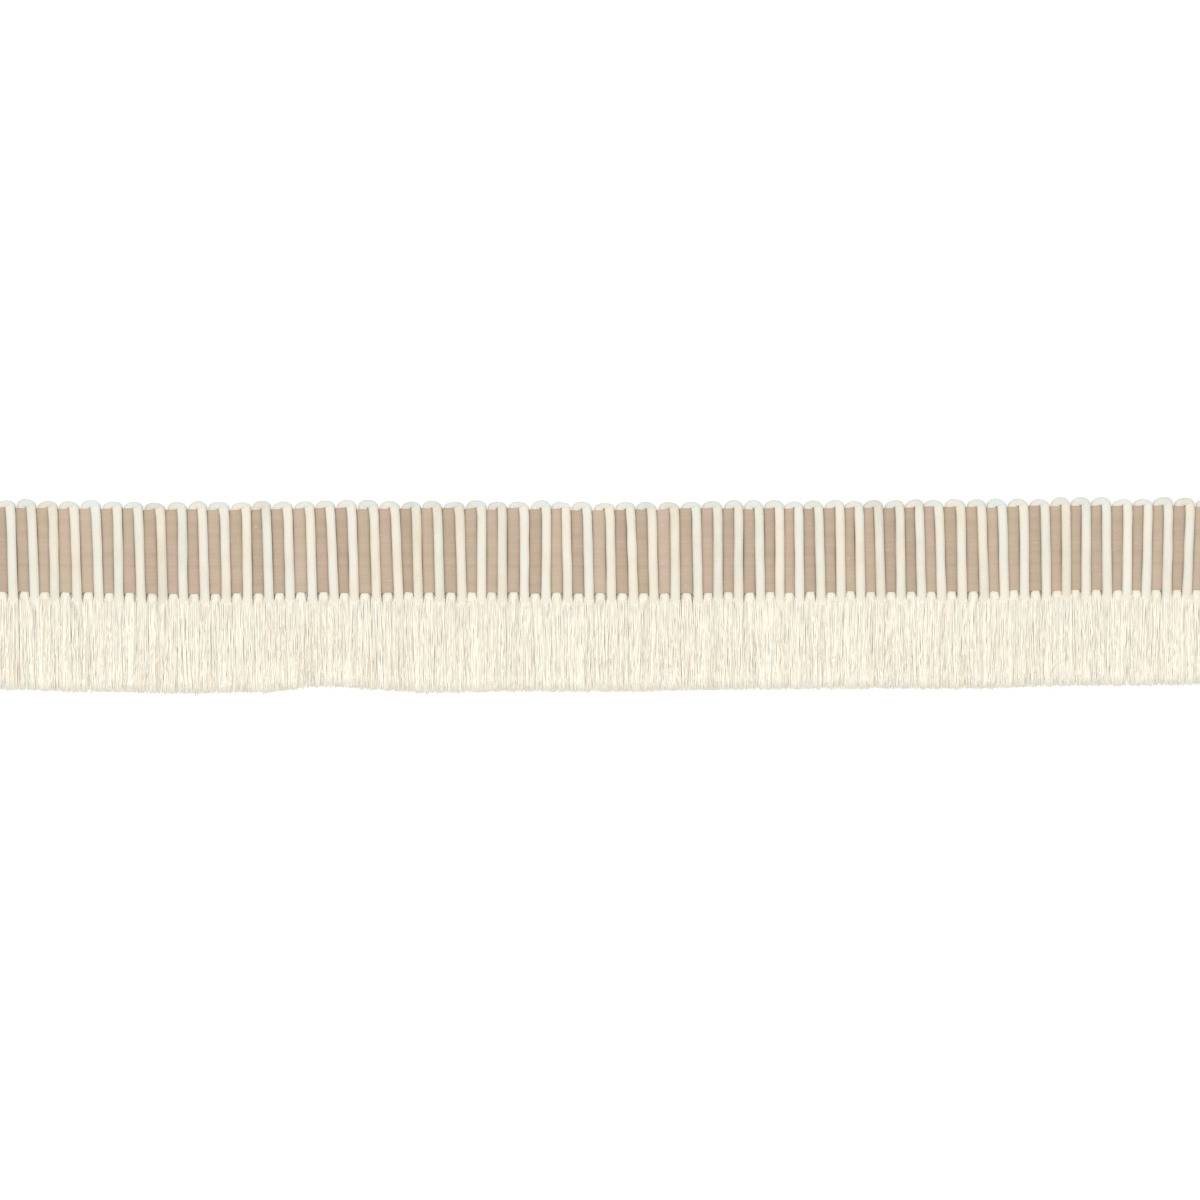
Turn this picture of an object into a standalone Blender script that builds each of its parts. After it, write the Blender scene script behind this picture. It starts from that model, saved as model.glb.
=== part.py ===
# Cut length of chainette fringe trim, lying on its back: a ribbed woven heading, the hairpin cords that are
# woven into it, and the brush fringe that the cords' cut ends open into.
# Metres, +Z up. X runs along the trim, +Y to the looped edge, and the fringe points to -Y. The origin is the
# middle of the heading's flat back.
import math
import random

import bmesh
import bpy

MM = 0.001

# How many hairpins of cord lie side by side, and their pitch, which changes a little along the trim.
# Each row is (hairpins, pitch).
PITCH_RUNS = (
    (28, 5.61 * MM),
    (6, 5.69 * MM),
    (10, 5.28 * MM),
    (6, 5.49 * MM),
    (8, 5.36 * MM),
)
HAIRPINS = sum(count for count, pitch in PITCH_RUNS)

# How the length lies. Each row is (hairpin, bow, lean, fringe): the heading's shift towards +Y, the cords'
# shift in X from the looped edge to the fringed one, and the fringe's length from there to its cut line.
LAY = (
    (0, 0.24 * MM, 0.62 * MM, 25.4 * MM),
    (4, 0.06 * MM, 0.64 * MM, 25.7 * MM),
    (8, -0.33 * MM, 0.51 * MM, 25.8 * MM),
    (12, -0.27 * MM, 0.45 * MM, 25.6 * MM),
    (15, 0.04 * MM, 0.78 * MM, 24.4 * MM),
    (20, 0.03 * MM, 0.67 * MM, 26.0 * MM),
    (24, 0.00 * MM, -0.10 * MM, 25.6 * MM),
    (29, -0.26 * MM, 0.60 * MM, 25.4 * MM),
    (34, -0.03 * MM, 0.09 * MM, 25.1 * MM),
    (40, 0.15 * MM, 0.42 * MM, 25.0 * MM),
    (46, 0.26 * MM, 0.58 * MM, 25.1 * MM),
    (51, 0.74 * MM, 0.10 * MM, 24.8 * MM),
    (58, 0.63 * MM, -0.89 * MM, 24.5 * MM),
)

# Heading: warp yarns wrapped over the hidden leg of each hairpin, with a groove for the leg that shows.
HEADING_WIDTH = 22.15 * MM
HEADING_END = 0.35  # of a pitch, from the first rib and the last cord to the cut ends
RIB_WIDTH = 3.1 * MM
RIB_HEIGHT = 2.2 * MM
RIB_SIDES = 5
GROOVE_FLOOR = 0.5 * MM
FLAT_SHADED = 50  # degrees between faces, from which an edge of a flat piece stays sharp

# Hairpin cord: it leaves the end of its rib, turns over the looped edge and lies down the front in the
# groove.
CORD_WIDTH = 2.4 * MM
CORD_HEIGHT = 1.9 * MM
CORD_REST = 0.8 * MM  # underside of the leg on the front
CORD_START = 0.2 * MM  # underside where it leaves the rib
CORD_THINNED = 0.9  # height there, as a share of the leg's on the front
CORD_SIDES = 6
CORD_SHADED = 70  # degrees between faces, from which a cord's edge stays sharp
LOOP_RISE = 1.97 * MM  # from the heading's edge to the outside of the turn
LOOP_INSIDE = 0.15 * MM  # radius left open inside the turn
LOOP_SKEW = 0.14  # the turn is fuller on the side of the front leg
LOOP_STEPS = 6
LOOP_UNEVEN = 0.2 * MM

# Fringe: a narrow strip of cord ends, two locks to each end. The ends of hidden legs and front legs take
# turns along it.
ROOT_STEP = 0.5  # hairpins from one cord end to the next
STRIP_WIDTH = 1.8 * MM
ROOT_HEIGHT = {"rib": 1.9 * MM, "cord": 2.4 * MM}
ROOT_NOTCH = 0.3 * MM  # width of the dip between two cord ends
ROOT_SHOULDER = 0.78  # height of a root's edge, as a share of its middle
LOCK_STAGES = ((0.35, 0.88), (1.0, 0.62))  # (share of the fringe's length, height as a share of the root)
LOCK_GAP = 0.3 * MM
LOCK_TAPER = 0.80  # width of a lock's top, as a share of its foot
TIP_UNEVEN = 0.4 * MM
SWAY = 0.35 * MM
SWAY_LENGTH = 7.0  # hairpins to one swing of the tips

PIECE_GAP = 0.3 * MM

TAUPE = (0.570, 0.452, 0.342, 1.0)
IVORY = (0.880, 0.840, 0.720, 1.0)


# The lay of the trim
def uneven(number, kind):
    """A fixed value from -1 to 1 for each number and kind, for what differs from cord to cord."""
    return random.Random(f"{kind} {number}").uniform(-1, 1)


def run_to(hairpin):
    """Length from the first rib to this hairpin, which need not be a whole number."""
    length, before = 0.0, 0
    for count, pitch in PITCH_RUNS:
        inside = hairpin - before
        last = before + count == HAIRPINS
        if inside <= count or last:
            return length + inside * pitch
        length += count * pitch
        before += count
    return length


def lay_of(hairpin):
    """(bow, lean, fringe length) at a hairpin, eased from row to row of LAY."""
    place = min(max(hairpin, LAY[0][0]), LAY[-1][0])
    for low, high in zip(LAY, LAY[1:]):
        if place <= high[0]:
            share = (place - low[0]) / (high[0] - low[0])
            ease = share * share * (3 - 2 * share)
            return tuple(a + (b - a) * ease for a, b in zip(low[1:], high[1:]))
    return LAY[-1][1:]


MIDDLE = (run_to(-HEADING_END) + run_to(HAIRPINS - 0.5 + HEADING_END)) / 2


def across(hairpin, share):
    """(x, y) on the heading at a hairpin; share is 0.5 at the looped edge and -0.5 at the fringed one."""
    bow, lean, fringe = lay_of(hairpin)
    return run_to(hairpin) - MIDDLE - lean * share, HEADING_WIDTH * share + bow


# Blender helpers
def new_material(name, colour, roughness):
    material = bpy.data.materials.new(name)
    material.use_nodes = True
    shader = material.node_tree.nodes["Principled BSDF"]
    shader.inputs["Base Color"].default_value = colour
    shader.inputs["Roughness"].default_value = roughness
    shader.inputs["Metallic"].default_value = 0.0
    return material


def add_object(name, mesh, material, collection):
    mesh.materials.append(material)
    obj = bpy.data.objects.new(name, mesh)
    collection.objects.link(obj)
    return obj


def mesh_of(bm, name):
    bmesh.ops.recalc_face_normals(bm, faces=bm.faces)
    mesh = bpy.data.meshes.new(name)
    bm.to_mesh(mesh)
    bm.free()
    return mesh


def smooth(mesh, degrees):
    mesh.shade_smooth()
    mesh.set_sharp_from_angle(angle=math.radians(degrees))


# Heading
def heading_profile():
    """(hairpin, offset in X, height) of each column of the heading's front, from one cut end to the other."""
    columns = [(-HEADING_END, 0.0, GROOVE_FLOOR)]
    for rib in range(HAIRPINS):
        for side in range(RIB_SIDES + 1):
            turn = math.pi * (1 - side / RIB_SIDES)
            rise = (RIB_HEIGHT - GROOVE_FLOOR) * math.sin(turn)
            columns.append((rib, RIB_WIDTH / 2 * math.cos(turn), GROOVE_FLOOR + rise))
    columns.append((HAIRPINS - 0.5 + HEADING_END, 0.0, GROOVE_FLOOR))
    return columns


def make_heading(material, collection):
    """A flat-backed band whose front rises over each rib, cut square at its ends."""
    columns = heading_profile()
    bm = bmesh.new()
    bmesh.ops.create_grid(bm, x_segments=len(columns) - 1, y_segments=1, size=0.5)
    for vert in bm.verts:
        column = round((vert.co.x + 0.5) * (len(columns) - 1))
        hairpin, offset, height = columns[column]
        x, y = across(hairpin, vert.co.y)
        if column in (0, len(columns) - 1):
            x = run_to(hairpin) - MIDDLE
        vert.co = (x + offset, y, height)
    back = bmesh.ops.extrude_face_region(bm, geom=bm.faces[:])
    for vert in back["geom"]:
        if isinstance(vert, bmesh.types.BMVert):
            vert.co.z = 0.0
    mesh = mesh_of(bm, "heading")
    smooth(mesh, FLAT_SHADED)
    return add_object("heading", mesh, material, collection)


# Hairpin cords
def cord_rings(hairpin):
    """(pivot, rings): the place on the looped edge that the cord turns about, and its sections from the rib's
    end to the fringe. A section is (centre, direction outwards, half width, half height)."""
    rib_x, edge_y = across(hairpin, 0.5)
    leg_x, leg_y = across(hairpin + 0.5, 0.5)
    pivot = ((rib_x + leg_x) / 2, max(edge_y, leg_y) + PIECE_GAP, 0.0)
    reach = (leg_x - rib_x) / 2 + CORD_WIDTH / 2
    rise = LOOP_RISE - PIECE_GAP + LOOP_UNEVEN * uneven(hairpin, "loop")
    rings = []
    for step in range(LOOP_STEPS + 1):
        turn = math.pi * (1 - step / LOOP_STEPS)
        out = (math.cos(turn), math.sin(turn))
        oval = 1 / math.hypot(out[0] / reach, out[1] / rise)
        outside = oval * (1 + LOOP_SKEW * out[0] * out[1])
        share = (1 + out[0]) / 2
        height = CORD_HEIGHT * (CORD_THINNED + (1 - CORD_THINNED) * share)
        rest = CORD_START + (CORD_REST - CORD_START) * share
        middle = (outside + LOOP_INSIDE) / 2
        centre = (out[0] * middle, out[1] * middle, rest + height / 2)
        rings.append((centre, out, (outside - LOOP_INSIDE) / 2, height / 2))
    foot_x, foot_y = across(hairpin + 0.5, -0.5)
    centre = (foot_x - pivot[0], foot_y - pivot[1], CORD_REST + CORD_HEIGHT / 2)
    rings.append((centre, (1.0, 0.0), CORD_WIDTH / 2, CORD_HEIGHT / 2))
    return pivot, rings


def make_cord(hairpin, material, collection):
    """The part of a hairpin that shows: a flattened cord, lofted because it thins as it turns."""
    pivot, rings = cord_rings(hairpin)
    bm = bmesh.new()
    loops = []
    for centre, out, half_width, half_height in rings:
        loop = []
        for side in range(CORD_SIDES):
            angle = 2 * math.pi * side / CORD_SIDES
            wide = half_width * math.cos(angle)
            high = half_height * math.sin(angle)
            point = (centre[0] + out[0] * wide, centre[1] + out[1] * wide, centre[2] + high)
            loop.append(bm.verts.new(point))
        loops.append(loop)
    for near, far in zip(loops, loops[1:]):
        for side in range(CORD_SIDES):
            after = (side + 1) % CORD_SIDES
            bm.faces.new((near[side], near[after], far[after], far[side]))
    bm.faces.new(loops[0])
    bm.faces.new(loops[-1])
    name = f"cord_{hairpin + 1:02d}"
    mesh = mesh_of(bm, name)
    smooth(mesh, CORD_SHADED)
    obj = add_object(name, mesh, material, collection)
    obj.location = pivot
    return obj


# Fringe
def fringe_columns():
    """(place in hairpins, offset in X, height) of each column of the strip, and the pairs of columns that
    carry a lock."""
    columns, locks = [], []
    for root in range(2 * HAIRPINS):
        place = root * ROOT_STEP
        height = ROOT_HEIGHT["rib" if root % 2 == 0 else "cord"]
        half = (run_to(place + ROOT_STEP / 2) - run_to(place - ROOT_STEP / 2) - ROOT_NOTCH) / 2
        first = len(columns)
        columns.append((place, -half, height * ROOT_SHOULDER))
        columns.append((place, 0.0, height))
        columns.append((place, half, height * ROOT_SHOULDER))
        locks += [first, first + 1]
    return columns, locks


def tip_shift(place):
    """How far the fringe has drifted in X at its cut line."""
    return SWAY * math.sin(2 * math.pi * place / SWAY_LENGTH) * math.cos(place / SWAY_LENGTH)


def lock_corner(columns, lock, stage, right, top):
    """A corner of a lock's section at one of LOCK_STAGES."""
    share, height_share = LOCK_STAGES[stage]
    place, offset, height = columns[lock + right]
    foot_x, foot_y = across(place, -0.5)
    fringe = lay_of(place)[2] + TIP_UNEVEN * uneven(lock, "tip") * (stage == len(LOCK_STAGES) - 1)
    inwards = LOCK_GAP / 2 * (1 - 2 * right)
    middle = (columns[lock][1] + columns[lock + 1][1]) / 2
    x_offset = offset + inwards
    if top:
        x_offset = middle + (x_offset - middle) * LOCK_TAPER
    y = foot_y - PIECE_GAP - STRIP_WIDTH - (fringe - STRIP_WIDTH - PIECE_GAP) * share
    tallest = max(columns[lock][2], columns[lock + 1][2])
    return foot_x + x_offset + tip_shift(place) * share, y, tallest * height_share * top


def make_fringe(material, collection):
    """The strip of cord ends, with each lock drawn out of its underside edge."""
    columns, locks = fringe_columns()
    bm = bmesh.new()
    bmesh.ops.create_grid(bm, x_segments=len(columns) - 1, y_segments=1, size=0.5)
    cells = {}
    for face in bm.faces:
        cells[round((face.calc_center_median().x + 0.5) * (len(columns) - 1) - 0.5)] = face
    for vert in bm.verts:
        place, offset, height = columns[round((vert.co.x + 0.5) * (len(columns) - 1))]
        foot_x, foot_y = across(place, -0.5)
        top = vert.co.y > 0
        vert.co = (foot_x + offset, foot_y - PIECE_GAP - STRIP_WIDTH, height * top)
    back = bmesh.ops.extrude_face_region(bm, geom=bm.faces[:])
    for vert in back["geom"]:
        if isinstance(vert, bmesh.types.BMVert):
            vert.co.y += STRIP_WIDTH
    faces = {lock: cells[lock] for lock in locks}
    for stage in range(len(LOCK_STAGES)):
        for lock, face in faces.items():
            (drawn,) = bmesh.ops.extrude_discrete_faces(bm, faces=[face])["faces"]
            middle = drawn.calc_center_median()
            for vert in drawn.verts:
                right, top = int(vert.co.x > middle.x), int(vert.co.z > middle.z)
                vert.co = lock_corner(columns, lock, stage, right, top)
            faces[lock] = drawn
    mesh = mesh_of(bm, "fringe")
    smooth(mesh, FLAT_SHADED)
    return add_object("fringe", mesh, material, collection)


def main():
    for old in list(bpy.data.objects):
        bpy.data.objects.remove(old)
    collection = bpy.data.collections.new("chainette_fringe_trim")
    bpy.context.scene.collection.children.link(collection)
    taupe = new_material("taupe_warp", TAUPE, 0.85)
    ivory = new_material("ivory_cord", IVORY, 0.75)
    fringe = new_material("ivory_fringe", IVORY, 0.80)
    make_heading(taupe, collection)
    for hairpin in range(HAIRPINS):
        make_cord(hairpin, ivory, collection)
    make_fringe(fringe, collection)


main()
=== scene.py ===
import math

import bpy
import numpy as np
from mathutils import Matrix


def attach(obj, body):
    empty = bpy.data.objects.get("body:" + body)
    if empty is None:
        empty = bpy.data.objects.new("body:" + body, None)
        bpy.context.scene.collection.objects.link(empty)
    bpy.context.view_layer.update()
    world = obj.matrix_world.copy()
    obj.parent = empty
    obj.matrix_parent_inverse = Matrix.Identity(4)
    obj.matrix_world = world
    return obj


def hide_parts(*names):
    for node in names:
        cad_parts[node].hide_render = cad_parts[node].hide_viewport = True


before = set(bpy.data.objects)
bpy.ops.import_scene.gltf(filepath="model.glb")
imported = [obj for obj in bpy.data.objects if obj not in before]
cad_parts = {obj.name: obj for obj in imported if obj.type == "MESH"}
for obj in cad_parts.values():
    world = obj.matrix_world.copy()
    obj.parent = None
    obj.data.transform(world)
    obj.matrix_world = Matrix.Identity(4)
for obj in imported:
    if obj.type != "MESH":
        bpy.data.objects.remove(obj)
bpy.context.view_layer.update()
print("frame:", len(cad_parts), "solids")

mm = 0.001  # sizes are in millimetres, where no note says metres
drawSeed = 58
rng = np.random.default_rng(drawSeed)

# how the length lies, the same for every piece
lay = {
    "pitchRuns": ((28, 5.61), (6, 5.69), (10, 5.28), (6, 5.49), (8, 5.36)),  # hairpins, their pitch
    "width": 22.15,  # of the heading
    "endShare": 0.35,  # of a pitch, from the outer rib or cord to the cut end
    "stray": 0.13,  # how far a single rib or cord lies off its place
    "strayRate": 0.9,  # radians from one rib or cord to the next, as the two rates below
    "ownLean": 0.22,
    "leanRate": 1.1,
    "leanStart": 2,
    "ownBend": 0.07,
    "bendRate": 1.3,
    "rows": (  # hairpin, shift to the looped edge, lean of the cords, fringe length
        (0, 0.24, 0.62, 25.4),
        (4, 0.06, 0.64, 25.7),
        (8, -0.33, 0.51, 25.8),
        (12, -0.27, 0.45, 25.6),
        (15, 0.04, 0.78, 24.4),
        (20, 0.03, 0.67, 26.0),
        (24, 0.00, -0.10, 25.6),
        (29, -0.26, 0.60, 25.4),
        (34, -0.03, 0.09, 25.1),
        (40, 0.15, 0.42, 25.0),
        (46, 0.26, 0.58, 25.1),
        (51, 0.74, 0.10, 24.8),
        (58, 0.63, -0.89, 24.5),
    ),
}
layRows = np.array(lay["rows"])
runCounts, runPitches = np.array(lay["pitchRuns"]).T
runKnots = np.concatenate([[0], np.cumsum(runCounts)])
runLengths = np.concatenate([[0], np.cumsum(runCounts * runPitches)])
hairpinCount = int(runKnots[-1])
endPlaces = (-lay["endShare"], hairpinCount - 0.5 + lay["endShare"])


def runTo(hairpin):
    # length from the first rib: straight between the ends of the runs, and on at the outer pitches past them
    hairpin = np.asarray(hairpin, float)
    before = np.minimum(hairpin, 0) * runPitches[0]
    beyond = np.maximum(hairpin - hairpinCount, 0) * runPitches[-1]
    return np.interp(hairpin, runKnots, runLengths) + before + beyond


middleRun = runTo(endPlaces).mean()


def layAt(hairpin):
    # shift, lean and fringe length at a hairpin, eased from row to row by 3t^2 - 2t^3
    place = np.clip(np.asarray(hairpin, float), layRows[0, 0], layRows[-1, 0])
    low = np.clip(np.searchsorted(layRows[:, 0], place, side="right") - 1, 0, len(layRows) - 2)
    share = (place - layRows[low, 0]) / (layRows[low + 1, 0] - layRows[low, 0])
    ease = (share**2 * (3 - 2 * share))[..., None]
    values = layRows[low, 1:] + (layRows[low + 1, 1:] - layRows[low, 1:]) * ease
    return np.moveaxis(values, -1, 0)


def onHeading(hairpin, share):
    # x and y on the heading: share is 0.5 at the looped edge and -0.5 at the fringed one; each rib and cord
    # has a stray, lean and bend of its own, from sines of its number
    shift, lean = layAt(hairpin)[:2]
    number = 2 * np.asarray(hairpin, float)
    x = runTo(hairpin) - middleRun - lean * share
    x = x + lay["stray"] * np.sin(lay["strayRate"] * number)
    x = x + lay["ownLean"] * np.sin(lay["leanRate"] * number + lay["leanStart"]) * share
    x = x + lay["ownBend"] * np.sin(lay["bendRate"] * number) * np.cos(2 * math.pi * share + number)
    return x, lay["width"] * share + shift


# meshes from arrays
def gridQuads(rows, columns, closed=False):
    # quads between neighbouring rows and columns of a grid of points, and from the last column to the first
    near = np.arange(columns if closed else columns - 1)
    far = (near + 1) % columns
    start = np.arange(rows - 1)[:, None] * columns
    corners = [start + near, start + far, start + columns + far, start + columns + near]
    return np.stack(corners, axis=-1).reshape(-1, 4)


def tubeFaces(tubes, rings, sides):
    # the sides and the two end faces of many tubes of the same size
    first = np.arange(tubes)[:, None] * rings * sides
    walls = (first[..., None] + gridQuads(rings, sides, closed=True)).reshape(-1, 4)
    startCaps = first + np.arange(sides)[::-1]
    endCaps = first + (rings - 1) * sides + np.arange(sides)
    return [walls, startCaps, endCaps]


def addPiece(name, points, faceSets, material, attributes):
    # one object at the origin, with a value or vector at each point for its material; the first faces are
    # its smooth sides, and the others its flat ends
    points = np.asarray(points, np.float32)
    sizes = np.concatenate([np.full(len(faces), faces.shape[1]) for faces in faceSets])
    corners = np.concatenate([faces.ravel() for faces in faceSets])
    smooth = np.concatenate([np.full(len(faces), faces is faceSets[0]) for faces in faceSets])
    mesh = bpy.data.meshes.new(name)
    mesh.vertices.add(points.size // 3)
    mesh.vertices.foreach_set("co", points.ravel() * mm)
    mesh.loops.add(len(corners))
    mesh.loops.foreach_set("vertex_index", corners.astype(np.int32))
    mesh.polygons.add(len(sizes))
    mesh.polygons.foreach_set("loop_start", (np.cumsum(sizes) - sizes).astype(np.int32))
    mesh.update(calc_edges=True)
    for title, values in attributes.items():
        isVector = values.shape == points.shape
        if not isVector:
            values = np.broadcast_to(values, points.shape[:-1])
        layer = mesh.attributes.new(title, "FLOAT_VECTOR" if isVector else "FLOAT", "POINT")
        layer.data.foreach_set("vector" if isVector else "value", values.astype(np.float32).ravel())
    mesh.polygons.foreach_set("use_smooth", smooth)
    mesh.materials.append(material)
    piece = bpy.data.objects.new(name, mesh)
    bpy.context.scene.collection.objects.link(piece)
    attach(piece, "root")
    print(name, len(mesh.vertices), "points,", int((sizes - 2).sum()), "triangles")
    return piece


def wander(count, stations, waves, swing):
    # a smooth random curve for each of count things: the sum of height x sin(pi n t + phase), where t is the
    # station, n runs from 1 to the number of waves, and each height and phase is drawn
    along = np.asarray(stations, float)
    curve = np.zeros((count, along.shape[-1]))
    for wave in range(1, waves + 1):
        phase = rng.uniform(0, 2 * math.pi, (count, 1))
        height = rng.normal(0, 1, (count, 1)) / math.sqrt(waves)
        curve += height * np.sin(math.pi * wave * along + phase)
    return curve * swing


# materials
def newMaterial(name):
    # a new material, its node tree and its shader
    material = bpy.data.materials.new(name)
    material.use_nodes = True
    return material, material.node_tree, material.node_tree.nodes["Principled BSDF"]


def fillSockets(tree, sockets, values):
    # a number or colour is set on its socket, and the output of another node is linked to it
    for socket, value in zip(sockets, values):
        if isinstance(value, (int, float)):
            socket.default_value = value
        elif isinstance(value, tuple):
            socket.default_value = (*value, 1.0)
        else:
            tree.links.new(value, socket)


def attributeNode(tree, title, output="Fac"):
    # a value or vector that the piece has at each point
    node = tree.nodes.new("ShaderNodeAttribute")
    node.attribute_name = title
    return node.outputs[output]


def mathNode(tree, operation, *values):
    # one sum, product or other function of its values
    node = tree.nodes.new("ShaderNodeMath")
    node.operation = operation
    fillSockets(tree, node.inputs, values)
    return node.outputs[0]


def sumNode(tree, *parts):
    # each value times its weight, added up
    total = 0.0
    for value, weight in parts:
        total = mathNode(tree, "MULTIPLY_ADD", value, weight, total)
    return total


def noiseNode(tree, cells, detail, roughness):
    # noise in object space, with so many cells to a metre along x, y and z
    where = tree.nodes.new("ShaderNodeTexCoord")
    mapping = tree.nodes.new("ShaderNodeMapping")
    mapping.inputs["Scale"].default_value = cells
    tree.links.new(where.outputs["Object"], mapping.inputs["Vector"])
    noise = tree.nodes.new("ShaderNodeTexNoise")
    noise.inputs["Scale"].default_value = 1.0
    noise.inputs["Detail"].default_value = detail
    noise.inputs["Roughness"].default_value = roughness
    tree.links.new(mapping.outputs["Vector"], noise.inputs["Vector"])
    return noise.outputs["Fac"]


def rampNode(tree, value, stops):
    # colours between the stops, each a value and its colour
    ramp = tree.nodes.new("ShaderNodeValToRGB")
    for index, (place, colour) in enumerate(stops):
        stop = ramp.color_ramp.elements[index] if index < 2 else ramp.color_ramp.elements.new(place)
        stop.position = place
        stop.color = (*colour, 1.0)
    tree.links.new(value, ramp.inputs["Fac"])
    return ramp.outputs["Color"]


def mixNode(tree, kind, share, first, second):
    # the second colour mixed into the first, or multiplied with it, by a share
    mix = tree.nodes.new("ShaderNodeMix")
    mix.data_type = "RGBA"
    mix.blend_type = kind
    sockets = (mix.inputs["Factor"], mix.inputs["A"], mix.inputs["B"])
    fillSockets(tree, sockets, (share, first, second))
    return mix.outputs["Result"]


def tintPatches(tree, finish, colour):
    # broad patches that lean a little to one hue or the other
    tint = rampNode(tree, noiseNode(tree, *finish["huePatches"]), finish["hues"])
    return mixNode(tree, "MULTIPLY", 1.0, colour, tint)


def finishSurface(tree, shader, finish, colour, relief):
    # colour, roughness and sheen, and the fine relief as bump
    tree.links.new(colour, shader.inputs["Base Color"])
    shader.inputs["Roughness"].default_value = finish["roughness"]
    shader.inputs["Sheen Weight"].default_value = finish["sheen"]
    bump = tree.nodes.new("ShaderNodeBump")
    bump.inputs["Strength"].default_value = finish["bumpStrength"]
    bump.inputs["Distance"].default_value = finish["bumpDepth"] * mm
    tree.links.new(relief, bump.inputs["Height"])
    tree.links.new(bump.outputs["Normal"], shader.inputs["Normal"])


# in the finishes, a noise is its cells to a metre along x, y and z, its detail and its roughness; tones and
# hues are stops, each a value of the blend or the noise and its colour
warpFinish = {
    "tones": ((0.2, (0.408, 0.312, 0.231)), (0.5, (0.480, 0.374, 0.280)), (0.85, (0.544, 0.436, 0.336))),
    "yarnShare": 0.15,  # of the blend: a warp yarn's own tone
    "fibres": ((900, 5200, 900), 3, 0.6),
    "fibreShare": 0.5,
    "patches": ((120, 400, 120), 2, 0.5),
    "patchShare": 0.35,
    "huePatches": ((290, 130, 290), 1, 0.5),
    "hues": ((0.4, (1.0, 0.976, 0.995)), (0.6, (0.976, 0.99, 0.95))),  # a little pinker, a little greener
    "slubs": ((640, 3600, 640), 1, 0.5),
    "slubStops": ((0.75, (0, 0, 0)), (0.81, (0.8, 0.8, 0.8))),  # how much of a slub shows
    "slub": (0.74, 0.67, 0.57),
    "roughness": 0.88,
    "sheen": 0.25,
    "bumpDepth": 0.06,
    "bumpStrength": 0.6,
}


def warpMaterial():
    # each warp yarn has its own tone, with fine fibres along it and a few pale slubs
    material, tree, shader = newMaterial("taupeWarp")
    fibres = noiseNode(tree, *warpFinish["fibres"])
    blend = sumNode(
        tree,
        (attributeNode(tree, "yarnTone"), warpFinish["yarnShare"]),
        (fibres, warpFinish["fibreShare"]),
        (noiseNode(tree, *warpFinish["patches"]), warpFinish["patchShare"]),
    )
    colour = tintPatches(tree, warpFinish, rampNode(tree, blend, warpFinish["tones"]))
    slubShare = rampNode(tree, noiseNode(tree, *warpFinish["slubs"]), warpFinish["slubStops"])
    colour = mixNode(tree, "MIX", slubShare, colour, warpFinish["slub"])
    finishSurface(tree, shader, warpFinish, colour, fibres)
    return material


cordFinish = {
    "tones": ((0.25, (0.676, 0.626, 0.508)), (0.48, (0.745, 0.704, 0.596)), (0.8, (0.790, 0.758, 0.667))),
    "patches": ((260, 130, 260), 2, 0.5),
    "patchShare": 0.6,
    "fuzz": ((3500, 1600, 3500), 3, 0.65),
    "fuzzShare": 0.4,
    "huePatches": ((190, 70, 190), 1, 0.5),
    "hues": ((0.4, (0.97, 1.0, 1.025)), (0.6, (1.01, 0.985, 0.955))),  # a little cooler, a little warmer
    "turn": (0.905, 0.955, 1.05),  # painted shade: the loops over the edge greyer and cooler, as their rounded rims turn away from the light
    "rimShadeInner": 0.45,  # share of that painted shade on the inner side of a loop; its outer rim takes all of it
    "rimShadeFade": 2.5,  # more brings the full painted shade nearer to the loop's feet
    "openedLit": (0.845, 0.797, 0.680),  # painted light: the ends, where the knitting opens, paler to lift the shade on the lowered cord ends
    "wales": 6,  # knitted columns round the cord
    "stitch": 0.95,  # length of a stitch
    "slant": 1.6,  # how many stitches a row climbs along the cord in the width of a column
    "stitchHeight": 0.35,  # where the furrows between the columns are 1 deep
    "furrowPower": 3,  # more makes them narrower
    "fuzzHeight": 1.2,
    "roughness": 0.9,
    "sheen": 0.05,
    "bumpDepth": 0.08,
    "bumpStrength": 0.6,
}


def cordMaterial():
    # a knitted cord, from its own measures round it (0 to 1) and along it: the stitches slant from the middle
    # of a column to both sides, sin(2 pi (along / stitch + slant side)), so that they meet as chevrons, and a
    # furrow, (2 side)^n, parts the columns; side is 0 in the middle of a column and 0.5 at its edges
    material, tree, shader = newMaterial("ivoryCord")
    split = tree.nodes.new("ShaderNodeSeparateXYZ")
    tree.links.new(attributeNode(tree, "cordWay", "Vector"), split.inputs["Vector"])
    column = mathNode(tree, "FRACT", mathNode(tree, "MULTIPLY", split.outputs["X"], cordFinish["wales"]))
    side = mathNode(tree, "ABSOLUTE", mathNode(tree, "SUBTRACT", column, 0.5))
    phase = sumNode(tree, (split.outputs["Y"], 1 / cordFinish["stitch"]), (side, cordFinish["slant"]))
    wave = mathNode(tree, "SINE", mathNode(tree, "MULTIPLY", phase, 2 * math.pi))
    furrow = mathNode(tree, "POWER", mathNode(tree, "MULTIPLY", side, 2), cordFinish["furrowPower"])
    fuzz = noiseNode(tree, *cordFinish["fuzz"])
    relief = sumNode(
        tree,
        (wave, cordFinish["stitchHeight"]),
        (furrow, -1),
        (fuzz, cordFinish["fuzzHeight"]),
    )
    blend = sumNode(
        tree,
        (noiseNode(tree, *cordFinish["patches"]), cordFinish["patchShare"]),
        (fuzz, cordFinish["fuzzShare"]),
        (attributeNode(tree, "cordTone"), 1),
    )
    colour = tintPatches(tree, cordFinish, rampNode(tree, blend, cordFinish["tones"]))
    # painted shade on the loops over the edge, most on their outer rims
    colour = mixNode(tree, "MULTIPLY", split.outputs["Z"], colour, cordFinish["turn"])
    # painted light: the cord ends paler where the knitting opens, against the shade that falls on them
    colour = mixNode(tree, "MIX", attributeNode(tree, "cordOpenLit"), colour, cordFinish["openedLit"])
    finishSurface(tree, shader, cordFinish, colour, relief)
    return material


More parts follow.
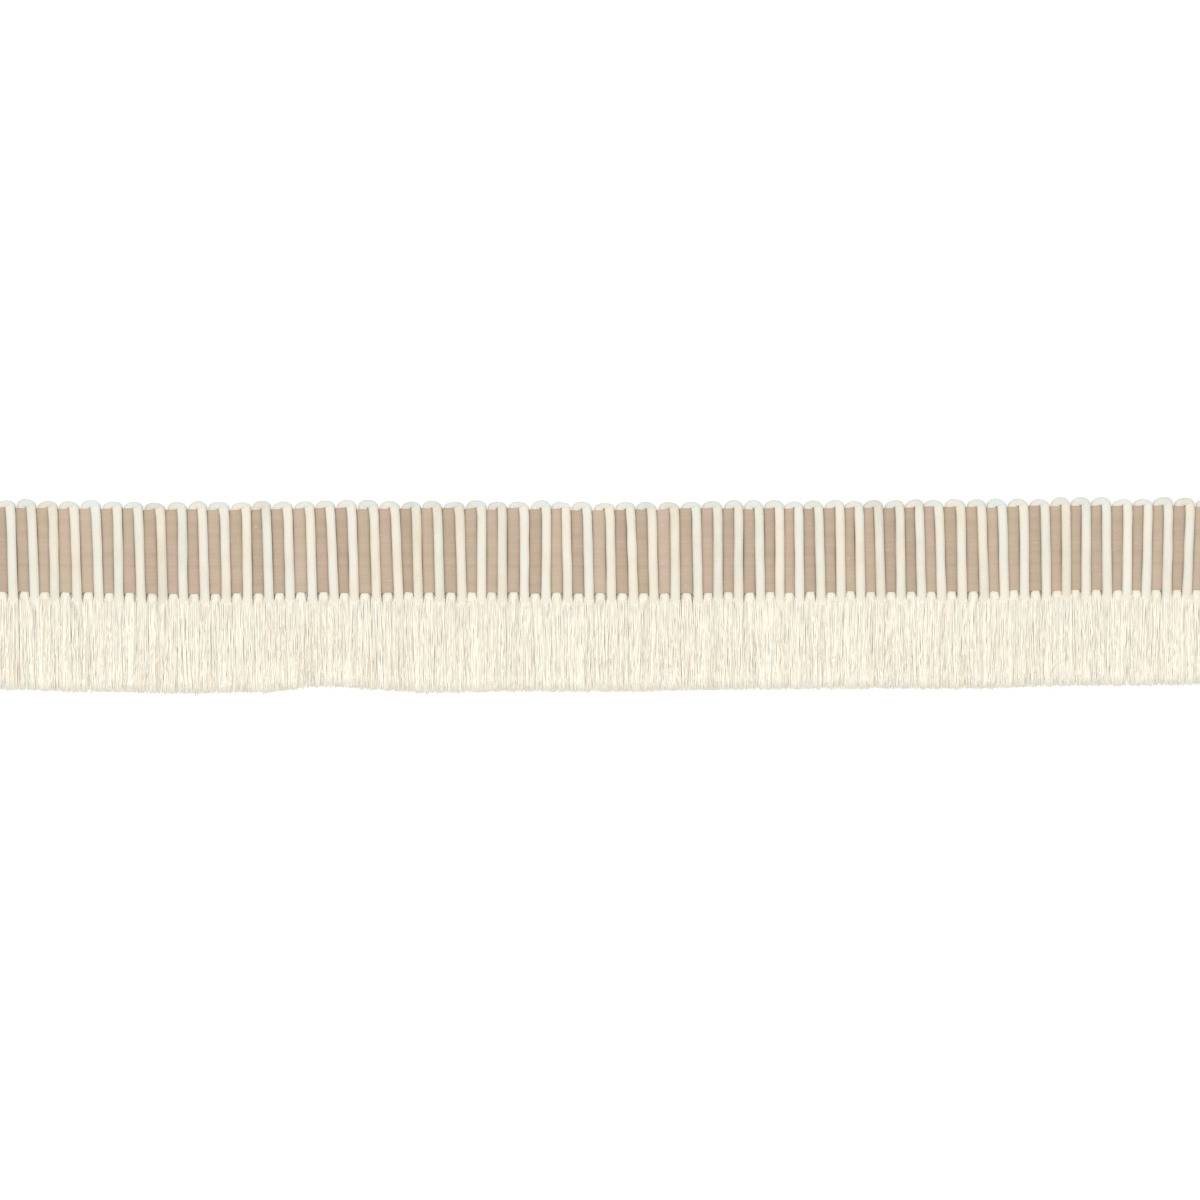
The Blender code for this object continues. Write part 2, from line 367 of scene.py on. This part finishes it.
fringeFinish = {
    "tones": ((0.15, (0.862, 0.822, 0.704)), (0.45, (0.936, 0.899, 0.792)), (0.85, (0.980, 0.955, 0.865))),
    "yarnShare": 0.55,  # of the blend: a cut yarn's own tone
    "fibres": ((9000, 700, 9000), 3, 0.6),
    "fibreShare": 0.45,
    "huePatches": ((120, 60, 120), 1, 0.5),
    "hues": ((0.4, (0.995, 1.001, 0.995)), (0.6, (1.0, 0.987, 0.975))),
    "deepShade": (1.04, 0.975, 0.83),  # painted warm shade on the lowest yarns, for the light that bounces between them
    "closed": (0.815, 0.770, 0.650),  # where the yarns still lie together as a cord, before the painted light of the open yarns
    "roughness": 0.8,
    "sheen": 0.5,
    "bumpDepth": 0.03,
    "bumpStrength": 0.4,
}


def fringeMaterial():
    # each cut yarn has its own tone, and fine fibres run down it
    material, tree, shader = newMaterial("ivoryFringe")
    fibres = noiseNode(tree, *fringeFinish["fibres"])
    blend = sumNode(
        tree,
        (attributeNode(tree, "yarnTone"), fringeFinish["yarnShare"]),
        (fibres, fringeFinish["fibreShare"]),
    )
    colour = tintPatches(tree, fringeFinish, rampNode(tree, blend, fringeFinish["tones"]))
    # painted warm shade, fullest on the lowest yarns
    colour = mixNode(tree, "MULTIPLY", attributeNode(tree, "yarnDepth"), colour, fringeFinish["deepShade"])
    # painted light: the yarns lighter as they open, against the shade in the gaps between them
    colour = mixNode(tree, "MIX", attributeNode(tree, "yarnOpenLit"), fringeFinish["closed"], colour)
    finishSurface(tree, shader, fringeFinish, colour, fibres)
    return material


# hairpins of cord
cord = {
    "width": 2.5,
    "height": 1.86,
    # for each leg, its place in hairpins after the rib's, the side of the pivot, the height of its underside,
    # how much narrower it is at its end, as a share of its width, where less than 0 is wider, how far its
    # knitting is open, and so painted lighter, at the heading's edge, and the length in which it would open
    # from nothing
    "hiddenLeg": {"after": 0, "side": -1, "rest": 0.04, "narrower": 0.06, "litFrom": 0.2, "litOver": 2.2},
    "frontLeg": {"after": 0.5, "side": 1, "rest": 0.78, "narrower": -0.05, "litFrom": 0, "litOver": 6.0},
    "narrowPower": 3,  # more keeps that to the leg's end
    "taperFrom": 0.8,  # below the heading
    "taperPower": 1.5,
    "endBelow": 4.6,  # cord left inside the fringe below the heading
    "endShare": 0.45,  # its width there, as a share
    "endSink": 0.5,  # of its underside's height there
    "legWander": (4, 0.04),  # waves, and how far sideways
    "widthWander": (6, 0.02),  # waves, and the share of the width
    "leastHeight": 0.6,  # share to which the section's height may follow its width down
    "loopGap": 0.03,  # from the heading's edge to the middle of the turn
    "loopInside": 0.03,  # radius inside the turn
    "loopRise": 1.98,  # from the middle of the turn to its outside
    "loopUneven": 0.3,
    "loopSpread": (0.0, -0.14),  # how far it reaches past the rib's outer side and the front leg's
    "loopSquare": 2.2,  # 2 is an ellipse, and more has squarer corners
    "squareUneven": (-0.3, 0.4),
    "loopSkew": 0.12,  # 0 is even, and more may make one shoulder fuller than the other
    "loopClimb": 0.6,  # 1 climbs evenly from the hidden leg to the front leg, and less climbs sooner
    "loopFill": 0.85,  # how far the turn is filled in towards its middle
    "fillFade": 18,  # how soon that ends down the front leg
    "loopCrease": 0.14,  # dip where it folds onto the front leg, as a share of its height
    "creaseAt": 42,  # degrees round the turn from the front leg
    "creaseReach": 16,
    "toneSpread": 0.07,  # from cord to cord
    "sides": 16,
    "section": 2.3,  # 2 is an oval, and more is a flatter one
    "legRings": 20,
    "ringGather": 1.5,  # 1 spaces them evenly, and more brings them closer together at the cut end
    "loopRings": 25,
}
inTurn = slice(cord["legRings"], -cord["legRings"])  # the rings of the turn, between those of the legs
turnAngles = math.pi * (1 - np.linspace(0, 1, cord["loopRings"]))  # from the hidden leg to the front leg
legShares = 1 - (1 - np.linspace(0, 1, cord["legRings"] + 1)[1:]) ** cord["ringGather"]  # of the way down


def ringTable(x, *others):
    # for each ring its middle in x and y, the height of its underside, the way outwards in x and y, and its
    # half width
    return np.stack([x, *(np.broadcast_to(values, x.shape) for values in others)], axis=-1)


def turnRings(halfGap, pivotX, pivotY):
    # the rings of a turn stand in a fan about its pivot, each from the inner radius to the outside: a squared
    # oval, 1 / (|cos / reach|^n + |sin / rise|^n)^(1/n), a little fuller at one shoulder
    outX, outY = np.cos(turnAngles)[None], np.sin(turnAngles)[None]
    share = (1 + outX) / 2
    overRib, overLeg = cord["loopSpread"]
    reach = (halfGap + cord["width"] / 2)[:, None] + overRib + (overLeg - overRib) * share
    rise = cord["loopRise"] + cord["loopUneven"] * rng.uniform(-1, 1, (hairpinCount, 1))
    square = cord["loopSquare"] + rng.uniform(*cord["squareUneven"], (hairpinCount, 1))
    skew = rng.uniform(-cord["loopSkew"], cord["loopSkew"], (hairpinCount, 1))
    outside = (np.abs(outX / reach) ** square + np.abs(outY / rise) ** square) ** (-1 / square)
    outside = outside * (1 + skew * outX * outY)
    middle = (outside + cord["loopInside"]) / 2
    hiddenRest, frontRest = cord["hiddenLeg"]["rest"], cord["frontLeg"]["rest"]
    rest = hiddenRest + (frontRest - hiddenRest) * share ** cord["loopClimb"]
    x, y = pivotX[:, None] + outX * middle, pivotY[:, None] + outY * middle
    return ringTable(x, y, rest, outX, outY, (outside - cord["loopInside"]) / 2)


def legRings(leg, pivotY):
    # the rings of a leg, from the pivot down to the cut end, in a straight line through its places at both
    # edges of the heading, with a slight wander, and tapered below the heading; also how far the knitting is
    # open at each ring, which sets how much painted light the cord's end takes
    place = np.arange(hairpinCount) + leg["after"]
    topX, topY = onHeading(place, 0.5)
    footX, footY = onHeading(place, -0.5)
    endY = footY - cord["endBelow"]
    y = pivotY[:, None] + (endY - pivotY)[:, None] * legShares
    below = footY[:, None] - y
    taper = np.clip((below - cord["taperFrom"]) / (cord["endBelow"] - cord["taperFrom"]), 0, 1)
    x = topX[:, None] + (footX - topX)[:, None] * (topY[:, None] - y) / (topY - footY)[:, None]
    x = x + wander(hairpinCount, legShares, *cord["legWander"]) * np.sin(math.pi * legShares)
    width = cord["width"] / 2 * (1 - (1 - cord["endShare"]) * taper ** cord["taperPower"])
    width = width * (1 + wander(hairpinCount, legShares, *cord["widthWander"]))
    width = width * (1 - leg["narrower"] * legShares ** cord["narrowPower"])
    rings = ringTable(x, y, leg["rest"] * (1 - cord["endSink"] * taper), leg["side"], 0, width)
    return rings, np.clip(below / leg["litOver"] + leg["litFrom"], 0, 1)


def cordSurface(rings):
    # the same flattened oval round every ring, (cos a, sin a) to the power 2 / section, with a dip where the
    # turn folds onto the front leg; also how far outwards each point of the oval lies, from -1 to 1
    angle = 2 * math.pi * (np.arange(cord["sides"]) + 0.5) / cord["sides"] - math.pi / 2
    wide = np.sign(np.cos(angle)) * np.abs(np.cos(angle)) ** (2 / cord["section"])
    high = np.sign(np.sin(angle)) * np.abs(np.sin(angle)) ** (2 / cord["section"])
    x, y, rest, outX, outY, width = np.moveaxis(rings, -1, 0)[..., None]
    height = cord["height"] / 2 * np.clip(width / (cord["width"] / 2), cord["leastHeight"], 1)
    fromCrease = (np.degrees(turnAngles) - cord["creaseAt"]) / cord["creaseReach"]
    height[:, inTurn] *= 1 - cord["loopCrease"] * np.exp(-(fromCrease**2))[:, None]
    # in the turn and just below it the upper side stays high towards the pivot
    atFront = np.exp(-legShares * cord["fillFade"])
    fill = np.concatenate([0 * legShares, np.sqrt(np.cos(turnAngles / 2)), atFront])
    inner = np.clip(-wide, 0, 1) ** 2 * (high > 0)
    high = high + cord["loopFill"] * fill[:, None] * inner * (1 - high)
    z = rest + height * (1 + high)
    return np.stack([x + outX * width * wide, y + outY * width * wide, z], axis=-1), wide


def cordWay(rings, wide):
    # for the material, how far round and along its cord each point lies, and its share of the painted shade
    # on the turn
    step = np.linalg.norm(np.diff(rings[..., :2], axis=1), axis=-1)
    along = np.concatenate([np.zeros((hairpinCount, 1)), np.cumsum(step, axis=1)], axis=1)
    tint = np.zeros(rings.shape[1])
    # the painted shade is fullest over the top of the turn and fades towards the loop's feet
    tint[inTurn] = np.clip(cordFinish["rimShadeFade"] * np.sin(turnAngles), 0, 1)
    outwards = cordFinish["rimShadeInner"] + (1 - cordFinish["rimShadeInner"]) * (1 + wide) / 2
    way = np.zeros((*rings.shape[:2], cord["sides"], 3))
    way[..., 0] = np.arange(cord["sides"]) / cord["sides"]
    way[..., 1] = along[..., None]
    way[..., 2] = tint[:, None] * outwards
    return way


def makeHairpins(material):
    # each hairpin is one tube: up the hidden leg, round the turn, about a point just past the looped edge and
    # between both legs, and down the front leg
    hairpin = np.arange(hairpinCount)
    ribX, ribY = onHeading(hairpin, 0.5)
    legX, legY = onHeading(hairpin + 0.5, 0.5)
    pivotX, pivotY = (ribX + legX) / 2, np.maximum(ribY, legY) + cord["loopGap"]
    fan = turnRings((legX - ribX) / 2, pivotX, pivotY)
    hidden, hiddenOpenLit = legRings(cord["hiddenLeg"], pivotY)
    front, frontOpenLit = legRings(cord["frontLeg"], pivotY)
    rings = np.concatenate([hidden[:, ::-1], fan, front], axis=1)
    # how much painted light each ring of the cord takes
    openedLit = np.concatenate([hiddenOpenLit[:, ::-1], np.zeros(fan.shape[:2]), frontOpenLit], axis=1)
    points, wide = cordSurface(rings)
    tone = rng.normal(0, cord["toneSpread"], (hairpinCount, 1, 1))
    faces = tubeFaces(hairpinCount, rings.shape[1], cord["sides"])
    piece = addPiece("hairpins", points, faces, material,
                     {"cordWay": cordWay(rings, wide), "cordTone": tone, "cordOpenLit": openedLit[..., None]})
    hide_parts(*[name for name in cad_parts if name.startswith("cord_")])


# heading
warp = {
    "yarns": 42,
    "ridge": 0.085,  # height of a yarn above the valley beside it
    "thick": 0.26,  # between the valleys of the two faces
    "thickWander": (6, 0.06),  # waves, and the share of the thickness
    "thickLength": 6,  # half the length of the longest of those waves
    "tuck": 0.1,  # how far a rib, measured at the middle of the cloth, stops short of the cords beside it
    "overHeight": 2.02,
    "overFlat": 0.7,  # 1 is a round rib, and less has a flatter top
    "sideHeight": 0.95,
    "grooveHeight": 0.27,
    "overAngles": (180, 150, 120, 90, 60, 30, 0),
    "footReach": 0.2,  # from the rib's side to the flat of the groove
    "edgeReach": 0.125,  # of the width, in which the next four values work, from each edge inwards
    "edgeDrop": 0.7,  # how far the cloth reaches down in the grooves, past its edge on the ribs
    "edgeInset": 0.08,  # of both edges
    "edgeUneven": 0.10,
    "edgeTilt": 0.12,
    "dropHeights": (0.28125, 0.90625),  # shares of a rib's height at which the drop starts to fade and ends
    "toneSpread": 0.6,  # from rib to rib
}


def bandColumns(share):
    # x and y of each column at each share of the band's width, and the column's height and rib: a rib fills
    # the room between the cords beside it as half an oval, (cos a, sin a ^ overFlat), and is flat under them
    angles = np.radians(warp["overAngles"])
    risen = np.abs(np.sin(angles)) ** warp["overFlat"]
    overHeights = warp["sideHeight"] + (warp["overHeight"] - warp["sideHeight"]) * risen
    acrossRib = [-1, *np.cos(angles), 1]
    footStep = [-warp["footReach"], *(0 * angles), warp["footReach"]]
    profile = [warp["grooveHeight"], *overHeights, warp["grooveHeight"]]
    x, y, heights, rib = [], [], [], []
    for k in range(hairpinCount):
        before, yBefore = onHeading(k - 0.5, share)
        after, yAfter = onHeading(k + 0.5, share)
        halfOver = (after - before - cord["width"] - warp["tuck"]) / 2
        for sideways, step in zip(acrossRib, footStep):
            x.append((before + after) / 2 + sideways * halfOver + step)
            y.append((yBefore + yAfter) / 2)
        x.append(after)
        y.append(yAfter)
        heights += [*profile, warp["grooveHeight"]]
        rib += [k] * (len(profile) + 1)
    # one more column before the first and after the last, where the length is cut square
    for at, place in zip((0, len(x) + 1), endPlaces):
        x.insert(at, np.full_like(share, runTo(place) - middleRun))
        y.insert(at, onHeading(place, share)[1])
        heights.insert(at, warp["grooveHeight"])
        rib.insert(at, int(np.clip(place, 0, hairpinCount - 1)))
    return np.array(x).T, np.array(y).T, np.array(heights), np.array(rib)


def edgeShifts(share, run, heights, rib):
    # how far each point is moved along y: near both edges by a shift and a tilt that each rib has of its own,
    # and near the fringed one also down, where the band lies in a groove
    raised = (heights - warp["grooveHeight"]) / (warp["overHeight"] - warp["grooveHeight"])
    hang = warp["edgeDrop"] * np.interp(raised, warp["dropHeights"], (1, 0))
    ribMiddles = np.array([run[rib == k].mean() for k in range(hairpinCount)])
    fromRib = (run - ribMiddles[rib]) / cord["width"]
    moved = 0
    for towards, drop in ((1, 0), (-1, hang)):
        shift = rng.normal(0, warp["edgeUneven"], hairpinCount)[rib]
        tilt = rng.normal(0, warp["edgeTilt"], hairpinCount)[rib] * fromRib
        nearEdge = np.clip((share * towards - 0.5) / warp["edgeReach"] + 1, 0, 1)[:, None]
        moved = moved + (shift + tilt - drop - towards * warp["edgeInset"]) * nearEdge
    return moved


def makeWarp(material):
    # a closed band whose two faces stand off its middle by half the thickness and, on every other row, the
    # ridge of a warp yarn
    rows = np.arange(2 * warp["yarns"] + 1)
    share = 0.5 - rows / (2 * warp["yarns"])
    x, y, heights, rib = bandColumns(share)
    run = x[len(rows) // 2]
    y = y + edgeShifts(share, run, heights, rib)
    slope = np.stack([np.gradient(run), np.gradient(heights)], axis=-1)
    slope /= np.linalg.norm(slope, axis=-1, keepdims=True)
    normalX, normalZ = -slope[:, 1], slope[:, 0]
    lift = (warp["thick"] / 2 + warp["ridge"] * (rows % 2))[:, None]
    lift = lift * (1 + wander(len(rows), (run - run[0]) / warp["thickLength"], *warp["thickWander"]))
    upper = np.stack([x + lift * normalX, y, heights + lift * normalZ], axis=-1)
    lower = np.stack([x - lift * normalX, y, heights - lift * normalZ], axis=-1)

    # the two faces are the halves of one closed tube along the band
    around = np.concatenate([upper, lower[::-1]], axis=0).transpose(1, 0, 2)
    columns, sides = around.shape[:2]
    walls = gridQuads(columns, sides, closed=True)
    pairs = np.arange(len(rows) - 1)
    cap = np.stack([pairs, pairs + 1, sides - 2 - pairs, sides - 1 - pairs], axis=-1)
    caps = np.concatenate([cap[:, ::-1], cap + (columns - 1) * sides])
    rowTone = rng.uniform(0, 1, warp["yarns"] + 1)[rows // 2]
    ribTone = rng.normal(0, warp["toneSpread"], hairpinCount)[rib]
    yarnTone = ribTone[:, None] + np.concatenate([rowTone, rowTone[::-1]])
    piece = addPiece("warpBand", around, [walls, caps], material, {"yarnTone": yarnTone})
    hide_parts("heading")


# fringe
fringe = {
    # the layers of yarns in each cord end, from the back to the front: how many, and their width as a share
    # of their thickness
    "layers": ((6, 2.6), (5, 2.2), (5, 1.9), (9, 1.2), (12, 0.95), (13, 0.86), (13, 0.86)),
    "depthUneven": 0.35,  # of a layer
    "acrossUneven": 0.3,  # of a yarn's room in its layer
    # where the yarns of the even and the odd layers lie in their room; the lowest layer's lie in its middle
    "stagger": (0.25, 0.75),
    "rounded": 0.72,  # 1 gathers the yarns in a full round section, as of the cord they leave, and 0 in a box
    "widenOver": 2.2,  # below the heading, where the yarns leave that section
    "thick": 0.25,  # of a yarn
    "thickUneven": (0.8, 1.15),
    "rootThick": 1.03,  # at the heading, as a share
    "tipThinner": 0.35,  # than that, as a share
    "wideUntil": 6,  # more keeps the wider yarns of the lower layers wide for longer
    "sides": 4,
    "sectionTurn": 2,  # radians by which a yarn's section may be turned
    "rings": 11,
    "ringGather": 1.3,  # 1 spaces them evenly, and more brings them closer together at the heading
    "tipLonger": 0.15,  # than the locks of the part
    "tipUneven": 0.24,
    "strayShare": 0.08,  # of the yarns are cut less evenly
    "strayMore": 2.4,  # times as unevenly
    "tipLimits": (-1.4, 1.1),
    "deepLonger": 0.25,  # the lowest yarns than the uppermost
    "clumps": 3,  # in each cord end
    "clumpLean": 0.10,
    "clumpReach": 0.6,  # of a cord end, to which a clump's lean spreads
    "yarnLean": 0.42,
    "leanWaves": ((19.0, 0.35), (8.3, 0.40), (4.7, 0.28), (2.9, 0.14)),  # length along the trim, tips' drift
    "depthTurn": 1.3,  # radians of a wave between the middle layers and the uppermost
    "sway": 0.35,
    "swayLength": 7.0,  # hairpins to one swing of the tips
    "leanGrowth": 1.4,  # 1 leans straight from the heading, and more leans later
    "drift": 0.24,  # slow wandering
    "crimp": 0.11,  # quick wandering
    "crimpRate": 1.7,  # times as quick
    "crimpSoon": 4,  # how soon below the heading it is full
    "heightDrift": 0.06,
    "heightRate": 2,
    "wanderWaves": 3,
    "tipHeight": 0.6,
    "sinkPower": 3.5,  # more keeps the fringe high for longer before it sinks to the tips
    "floorGap": 0.01,  # least room under the middle line of a yarn, besides its half thickness
    "lowest": 0.005,  # least height of a yarn's underside
    "toneSpread": 0.7,  # from yarn to yarn at the heading
    "toneGrowth": 0.8,  # more than that at the tips
    "tipPaintedLight": 0.6,  # painted light, added to a yarn's tone at its tip against the shade round the tips
    "tipLightPower": 12,  # more keeps that nearer to the tip
    "litFrom": 0.6,  # below the heading, where the yarns start to look open and their painted light starts
    "litOver": 2.6,
    # where the yarns start below the heading, whether the outer yarns of the lowest layer spread into the
    # grooves beside, and rows of the distance below the heading, half width, lowest and highest point of the
    # bundle
    "ribEnds": {
        "start": (-0.8, -0.2),
        "spread": True,
        "bundle": ((-0.8, 0.98, 0.30, 1.55), (0.2, 1.10, 0.25, 1.66), (0.8, 1.22, 0.2, 1.80),
                   (1.6, 1.38, 0.2, 1.86), (3.0, 1.44, 0.2, 1.72), (7.0, 1.42, 0.2, 1.5)),
    },
    "cordEnds": {
        "start": (-0.5, 0.9),
        "spread": False,
        "bundle": ((-0.8, 0.85, 0.9, 2.05), (0.8, 1.10, 0.8, 2.20), (1.6, 1.32, 0.5, 2.38),
                   (2.6, 1.42, 0.4, 2.22), (4.2, 1.42, 0.2, 1.92), (8.0, 1.42, 0.2, 1.5)),
    },
    "spreadFrom": 0.6,  # of the half width, past which those yarns spread
    "spreadStart": 0.5,  # where they start
    "spreadReach": 1.3,  # of the half width
}


def bundleAt(below, rows):
    # half width, low and high of a bundle, straight between the rows of its table
    rows = np.array(rows)
    return [np.interp(below, rows[:, 0], rows[:, k]) for k in (1, 2, 3)]


def yarnLayers(ends):
    # for each yarn of so many cord ends, the number of its end, its layer and its room in the layer
    counts = [yarns for yarns, wider in fringe["layers"]]
    end = np.repeat(np.arange(ends), sum(counts))
    layer = np.tile(np.repeat(np.arange(len(counts)), counts), ends)
    room = np.tile(np.concatenate([np.arange(yarns) for yarns in counts]), ends)
    return end, layer, room


def bundlePlaces(layer, room, inLayer, spreads):
    # each yarn's place across and up its bundle, from -1 to 1, and the place across from which it comes: in a
    # round section, across x sqrt(1 - rounded up^2), or, for the yarns that spread, beside it
    upwards = layer + 0.5 + rng.uniform(-fringe["depthUneven"], fringe["depthUneven"], len(layer))
    upwards = upwards / len(fringe["layers"]) * 2 - 1
    across = room + np.where(layer == 0, 0.5, np.array(fringe["stagger"])[layer % 2])
    across = across + rng.uniform(-fringe["acrossUneven"], fringe["acrossUneven"], len(layer))
    across = across / inLayer * 2 - 1
    gathered = across * np.sqrt(1 - fringe["rounded"] * upwards**2)
    spread = (layer == 0) & (np.abs(across) > fringe["spreadFrom"]) & spreads
    gathered = np.where(spread, np.sign(across) * fringe["spreadReach"], gathered)
    return across, upwards, gathered, spread


def ringsBelow(place, upwards, spread, starts):
    # the share of the way down at which each ring lies, which is the same for every yarn; its distance below
    # the heading, from the yarn's start to its uneven tip; and that as a share of the yarn's reach below it
    astray = np.where(rng.uniform(0, 1, len(place)) < fringe["strayShare"], fringe["strayMore"], 1)
    uneven = np.clip(rng.normal(0, fringe["tipUneven"], len(place)) * astray, *fringe["tipLimits"])
    length = layAt(place)[2] + fringe["tipLonger"] + uneven - fringe["deepLonger"] * upwards / 2
    start = np.where(spread, fringe["spreadStart"], rng.uniform(*starts, len(place)))
    share = np.linspace(0, 1, fringe["rings"]) ** fringe["ringGather"]
    below = start[:, None] + (length - start)[:, None] * share
    return share, below, np.clip(below / length[:, None], 0, 1)


def clumpLeans(ends, end, across):
    # each cord end has a few clumps with their own leans, and a yarn takes exp(-(distance / clumpReach)^2) of
    # the lean of the nearest
    clumpAt = np.sort(rng.uniform(-1, 1, (ends, fringe["clumps"])), axis=1)
    clumpLean = rng.normal(0, fringe["clumpLean"], (ends, fringe["clumps"]))
    nearest = np.argmin(np.abs(across[:, None] - clumpAt[end]), axis=1)
    distance = across - clumpAt[end, nearest]
    return clumpLean[end, nearest] * np.exp(-((distance / fringe["clumpReach"]) ** 2))


def swayAt(place, foot, upwards):
    # how far the tips drift together: a swing, sin(2 pi place / L) cos(place / L), and waves along the trim,
    # each with its own length as its phase
    sway = fringe["sway"] * np.sin(2 * math.pi * place / fringe["swayLength"])
    sway = sway * np.cos(place / fringe["swayLength"])
    for reach, drift in fringe["leanWaves"]:
        sway = sway + drift * np.sin(2 * math.pi * foot / reach + fringe["depthTurn"] * upwards + reach)
    return sway


def makeYarns(name, places, ends, material):
    # a yarn keeps its place in the layers of its bundle while the bundle opens, and drifts sideways with its
    # clump, with its own lean and with the sway of the whole fringe, each growing with the distance below the
    # heading
    end, layer, room = yarnLayers(len(places))
    count = len(end)
    place = places[end]
    inLayer, wider = np.array(fringe["layers"])[layer].T
    across, upwards, gathered, spread = bundlePlaces(layer, room, inLayer, ends["spread"])
    share, below, grown = ringsBelow(place, upwards, spread, ends["start"])
    halfWidth, low, high = bundleAt(below, ends["bundle"])
    high = high + (fringe["tipHeight"] - high) * grown ** fringe["sinkPower"]

    footX, footY = onHeading(place, -0.5)
    foot = footX + across * ends["bundle"][-1][1]
    together = clumpLeans(len(places), end, across) + swayAt(place, foot, upwards)
    lean = together[:, None] * grown ** fringe["leanGrowth"]
    lean = lean + rng.normal(0, fringe["yarnLean"], (count, 1)) * grown
    widened = np.clip(below / fringe["widenOver"], 0, 1)
    sideways = gathered[:, None] + (across - gathered)[:, None] * widened
    waves = fringe["wanderWaves"]
    x = footX[:, None] + sideways * halfWidth + lean
    x = x + wander(count, share, waves, fringe["drift"]) * grown
    crimp = wander(count, share * fringe["crimpRate"], waves, fringe["crimp"])
    x = x + crimp * np.clip(grown * fringe["crimpSoon"], 0, 1)
    y = footY[:, None] - below
    thick = fringe["thick"] / 2 * rng.uniform(*fringe["thickUneven"], (count, 1))
    thick = thick * (fringe["rootThick"] - fringe["tipThinner"] * grown)
    z = low + (high - low) * (upwards[:, None] + 1) / 2
    z = z + wander(count, share * fringe["heightRate"], waves, fringe["heightDrift"]) * grown
    z = np.maximum(z, thick + fringe["floorGap"])

    # the section is an oval of a few points, wider than it is thick in the lower layers
    turn = 2 * math.pi * np.arange(fringe["sides"]) / fringe["sides"]
    turn = turn + rng.uniform(0, fringe["sectionTurn"], (count, 1, 1))
    wide = thick * (1 + (wider[:, None] - 1) * (1 - grown ** fringe["wideUntil"]))
    points = np.stack([
        x[..., None] + wide[..., None] * np.cos(turn),
        np.broadcast_to(y[..., None], (*x.shape, fringe["sides"])),
        np.maximum(z[..., None] + thick[..., None] * np.sin(turn), fringe["lowest"]),
    ], axis=-1)
    grown = grown[..., None]
    contrast = fringe["toneSpread"] + fringe["toneGrowth"] * grown
    tone = 0.5 + rng.uniform(-0.5, 0.5, (count, 1, 1)) * contrast
    # painted light at the tips
    tone = tone + fringe["tipPaintedLight"] * grown ** fringe["tipLightPower"]
    # painted light, growing below the heading as the yarns open
    openedLit = np.clip((below - fringe["litFrom"]) / fringe["litOver"], 0, 1)
    faces = tubeFaces(count, fringe["rings"], fringe["sides"])
    piece = addPiece(name, points, faces, material,
                     {"yarnTone": tone, "yarnDepth": ((1 - upwards) / 2)[:, None, None],
                      "yarnOpenLit": openedLit[..., None]})
    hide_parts("fringe")


def makeFringe(material):
    # the ends of the hidden legs, under each rib, and of the front legs, in a left and a right half of the
    # length
    middle = hairpinCount // 2
    for half, hairpin in (("Left", np.arange(middle)), ("Right", np.arange(middle, hairpinCount))):
        makeYarns("fringeRibs" + half, hairpin, fringe["ribEnds"], material)
        makeYarns("fringeCords" + half, hairpin + 0.5, fringe["cordEnds"], material)


# floor, light and camera
studio = {
    "floorSize": 4.0,  # metres
    "floorColour": (0.97, 0.97, 0.97),
    "floorRoughness": 0.9,
    "worldColour": (1.0, 1.0, 1.0),
    "worldStrength": 0.63,
    "lampPower": 12.1,  # watts
    "lampSize": 0.55,  # metres, as its place
    "lampAt": (-0.08, 0.12, 1.4),
    "photoWidth": 315.7,  # of the floor across the photo
    "photoCentre": (-1.25, -13.0),
    "lens": 100.0,
    "clip": (0.01, 20),  # metres from the camera, the nearest and the farthest that it sees
}


def makeFloor():
    # a plain square
    material, tree, shader = newMaterial("studioFloor")
    fillSockets(tree, (shader.inputs["Base Color"], shader.inputs["Roughness"]),
                (studio["floorColour"], studio["floorRoughness"]))
    reach = studio["floorSize"] / 2
    corners = [(-reach, -reach, 0), (reach, -reach, 0), (reach, reach, 0), (-reach, reach, 0)]
    mesh = bpy.data.meshes.new("studioFloor")
    mesh.from_pydata(corners, [], [(0, 1, 2, 3)])
    mesh.materials.append(material)
    floor = bpy.data.objects.new("studioFloor", mesh)
    bpy.context.scene.collection.objects.link(floor)


def makeLights():
    # an even white surround and one soft lamp, turned to the middle of the floor
    world = bpy.data.worlds.new("studioWorld")
    world.use_nodes = True
    background = world.node_tree.nodes["Background"]
    fillSockets(world.node_tree, (background.inputs["Color"], background.inputs["Strength"]),
                (studio["worldColour"], studio["worldStrength"]))
    bpy.context.scene.world = world

    lampX, lampY, lampZ = studio["lampAt"]
    lampData = bpy.data.lights.new("softLamp", "AREA")
    lampData.shape = "DISK"
    lampData.size = studio["lampSize"]
    lampData.energy = studio["lampPower"]
    lamp = bpy.data.objects.new("softLamp", lampData)
    lamp.location = studio["lampAt"]
    lamp.rotation_euler = (math.atan2(-lampY, lampZ), math.atan2(lampX, lampZ), 0)
    bpy.context.scene.collection.objects.link(lamp)


def makeCamera():
    # straight above the photo's centre, so high that its width fills the sensor: width x lens / sensor
    cameraData = bpy.data.cameras.new("photoCamera")
    cameraData.lens = studio["lens"]
    cameraData.clip_start, cameraData.clip_end = studio["clip"]
    camera = bpy.data.objects.new("photoCamera", cameraData)
    centreX, centreY = studio["photoCentre"]
    distance = studio["photoWidth"] * mm * studio["lens"] / cameraData.sensor_width
    camera.location = (centreX * mm, centreY * mm, distance)
    bpy.context.scene.collection.objects.link(camera)
    bpy.context.scene.camera = camera
    bpy.context.scene.view_settings.view_transform = "Standard"
    print("studio: camera", round(distance, 3), "m above the floor")


makeHairpins(cordMaterial())
makeWarp(warpMaterial())
makeFringe(fringeMaterial())
makeFloor()
makeLights()
makeCamera()
